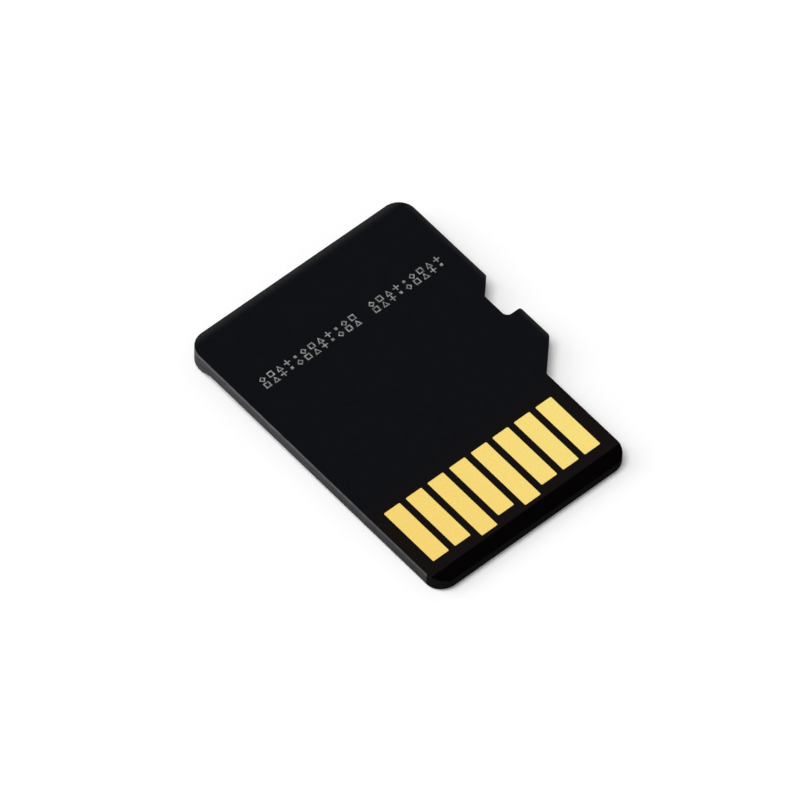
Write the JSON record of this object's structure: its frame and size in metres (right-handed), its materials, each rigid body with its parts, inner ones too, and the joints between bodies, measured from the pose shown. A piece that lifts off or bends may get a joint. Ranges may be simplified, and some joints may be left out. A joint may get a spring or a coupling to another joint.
{
  "type": "micro memory card",
  "caption": "Thin black memory card with a row of gold contacts on one face, a shoulder and a locking notch on one side, a bevelled front end and a finger lip under the rear.",
  "frame": {"origin": "under the middle of the card's outline, level with the crest of the finger lip", "axes": "+Z out of the contact face, +Y from the contacts' end towards the lip's end, +X towards the side with the locking notch"},
  "size_m": [0.011, 0.015, 0.001],
  "materials": {
    "moulding": "black epoxy moulding compound, fine satin skin, diced edges a little greyer",
    "laminate_core": "dark resin laminate, cut edge lighter than the mask",
    "contact_mask": "black solder mask, smooth and satin",
    "die_side_mask": "solder mask",
    "contact_gold": "gold plating over copper, satin",
    "plated_copper": "gold plating over copper",
    "silicon": "polished silicon",
    "attach_film": "adhesive film",
    "capacitor_ceramic": "fired ceramic with tinned ends",
    "resistor_ceramic": "coated ceramic with tinned ends",
    "solder": "tin solder",
    "bond_wire": "drawn gold wire"
  },
  "bodies": {
    "root": {"moulded_body": "moulding", "substrate": "laminate_core", "contact_mask": "contact_mask", "die_side_mask": "die_side_mask", "contact_1": "contact_gold", "contact_2": "contact_gold", "contact_3": "contact_gold", "contact_4": "contact_gold", "contact_5": "contact_gold", "contact_6": "contact_gold", "contact_7": "contact_gold", "contact_8": "contact_gold", "bond_fingers": "plated_copper", "component_lands": "plated_copper", "flash_die_1": "silicon", "flash_die_2": "silicon", "flash_die_3": "silicon", "flash_die_4": "silicon", "die_film_1": "attach_film", "die_film_2": "attach_film", "die_film_3": "attach_film", "die_film_4": "attach_film", "controller_die": "silicon", "controller_film": "attach_film", "capacitor_1": "capacitor_ceramic", "capacitor_2": "capacitor_ceramic", "capacitor_3": "capacitor_ceramic", "resistor": "resistor_ceramic", "solder_fillets": "solder", "flash_bond_wires": "bond_wire", "controller_bond_wires": "bond_wire"}
  },
  "joints": []
}
